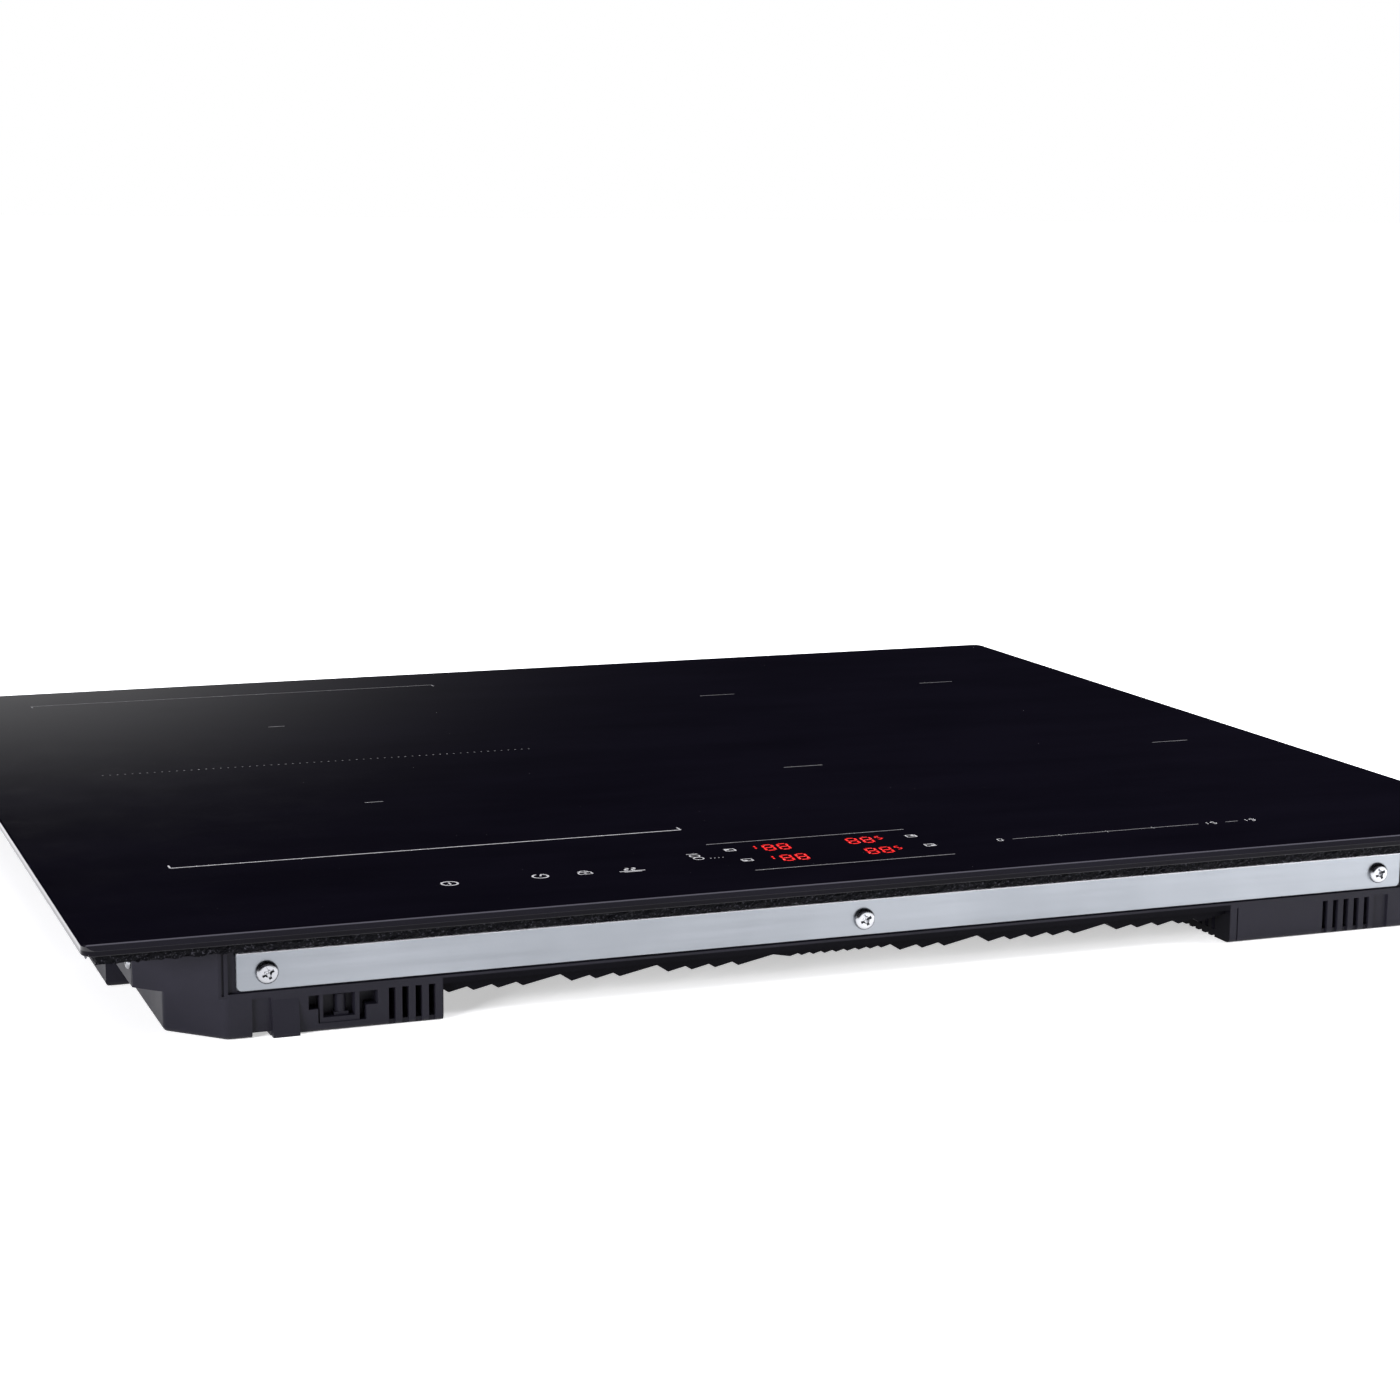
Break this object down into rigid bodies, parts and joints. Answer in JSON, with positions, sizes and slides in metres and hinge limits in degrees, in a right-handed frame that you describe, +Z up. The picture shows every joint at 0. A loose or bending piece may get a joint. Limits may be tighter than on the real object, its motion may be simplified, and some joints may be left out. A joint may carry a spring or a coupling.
{
  "type": "electric induction cooktop",
  "caption": "Slim built-in induction cooktop: black glass surface with bevelled front edge over a black vented tub with metal rails, coils, fans and a rear terminal bay.",
  "frame": {"origin": "middle of the footprint, at the underside of the tub's blocks", "axes": "+X to the cook's right, -Y towards the cook, +Z up out of the glass"},
  "size_m": [0.6, 0.52, 0.043],
  "materials": {
    "glass": "polished black glass-ceramic",
    "foam": "rough open-cell foam",
    "tub_plastic": "fine satin moulded grain",
    "rail_metal": "satin, lightly brushed",
    "zinc_screw": "bright zinc plated",
    "spring_steel": "blued spring steel",
    "aluminium": "mill finish",
    "carrier_plastic": "glass-filled, satin",
    "copper": "lacquered stranded wire",
    "ferrite": "dull sintered",
    "mica": "speckled mica paper",
    "sensor_metal": "satin",
    "circuit_board": "solder resist, semi-gloss",
    "component_black": "moulded epoxy",
    "capacitor": "smooth case",
    "fan_plastic": "satin",
    "motor_metal": "laminated steel",
    "holder_plastic": "satin",
    "display_face": "smoked face",
    "cable_jacket": "satin",
    "terminal_plastic": "satin",
    "cover_plastic": "satin moulded grain",
    "bushing_rubber": "matt"
  },
  "bodies": {
    "root": {"glass_plate": "glass", "foam_seal": "foam", "base_tub": "tub_plastic", "front_rail": "rail_metal", "rear_rail": "rail_metal", "rail_screws": "zinc_screw", "side_screws": "zinc_screw", "inner_screws": "zinc_screw", "terminal_screws": "zinc_screw", "clip_plates": "spring_steel", "coil_tray": "aluminium", "heat_sink_left": "aluminium", "heat_sink_right": "aluminium", "coil_carrier_front_left": "carrier_plastic", "winding_front_left": "copper", "ferrite_bars_front_left": "ferrite", "insulation_sheet_front_left": "mica", "heat_sensor_front_left": "sensor_metal", "coil_carrier_rear_left": "carrier_plastic", "winding_rear_left": "copper", "ferrite_bars_rear_left": "ferrite", "insulation_sheet_rear_left": "mica", "heat_sensor_rear_left": "sensor_metal", "coil_carrier_front_right": "carrier_plastic", "winding_front_right": "copper", "ferrite_bars_front_right": "ferrite", "insulation_sheet_front_right": "mica", "heat_sensor_front_right": "sensor_metal", "coil_carrier_rear_right": "carrier_plastic", "winding_rear_right": "copper", "ferrite_bars_rear_right": "ferrite", "insulation_sheet_rear_right": "mica", "heat_sensor_rear_right": "sensor_metal", "power_board_left": "circuit_board", "power_transistors_left": "component_black", "capacitors_left": "capacitor", "choke_coils_left": "copper", "fan_housing_left": "fan_plastic", "fan_motor_left": "motor_metal", "power_board_right": "circuit_board", "power_transistors_right": "component_black", "capacitors_right": "capacitor", "choke_coils_right": "copper", "fan_housing_right": "fan_plastic", "fan_motor_right": "motor_metal", "filter_module": "component_black", "control_holder": "holder_plastic", "control_board": "circuit_board", "display_modules": "display_face", "key_springs": "spring_steel", "ribbon_cable": "cable_jacket", "terminal_block": "terminal_plastic", "cable_bushing": "bushing_rubber"},
    "clip_leaf_front_left": {"clip_leaf_front_left": "spring_steel"},
    "clip_leaf_rear_left": {"clip_leaf_rear_left": "spring_steel"},
    "clip_leaf_front_right": {"clip_leaf_front_right": "spring_steel"},
    "clip_leaf_rear_right": {"clip_leaf_rear_right": "spring_steel"},
    "impeller_left": {"impeller_left": "fan_plastic"},
    "impeller_right": {"impeller_right": "fan_plastic"},
    "terminal_cover": {"terminal_cover": "cover_plastic"}
  },
  "joints": [
    {"name": "clip_flex_front_left", "type": "hinge", "parent": "root", "child": "clip_leaf_front_left", "pos_m": [-0.2772, -0.12, 0.0205], "axis": [0, -1, 0], "range_deg": [0, 7], "stiffness_Nm_per_rad": 2},
    {"name": "clip_flex_rear_left", "type": "hinge", "parent": "root", "child": "clip_leaf_rear_left", "pos_m": [-0.2772, 0.15, 0.0205], "axis": [0, -1, 0], "range_deg": [0, 7], "stiffness_Nm_per_rad": 2},
    {"name": "clip_flex_front_right", "type": "hinge", "parent": "root", "child": "clip_leaf_front_right", "pos_m": [0.2772, -0.12, 0.0205], "axis": [0, 1, 0], "range_deg": [0, 7], "stiffness_Nm_per_rad": 2},
    {"name": "clip_flex_rear_right", "type": "hinge", "parent": "root", "child": "clip_leaf_rear_right", "pos_m": [0.2772, 0.15, 0.0205], "axis": [0, 1, 0], "range_deg": [0, 7], "stiffness_Nm_per_rad": 2},
    {"name": "fan_spin_left", "type": "hinge", "parent": "root", "child": "impeller_left", "pos_m": [-0.15, 0.165, 0.015], "axis": [0, 0, 1], "continuous": true},
    {"name": "fan_spin_right", "type": "hinge", "parent": "root", "child": "impeller_right", "pos_m": [0.07, 0.165, 0.015], "axis": [0, 0, 1], "continuous": true},
    {"name": "terminal_cover_hinge", "type": "hinge", "parent": "root", "child": "terminal_cover", "pos_m": [0.2, 0.2427, 0.0152], "axis": [1, 0, 0], "range_deg": [0, 90]}
  ]
}
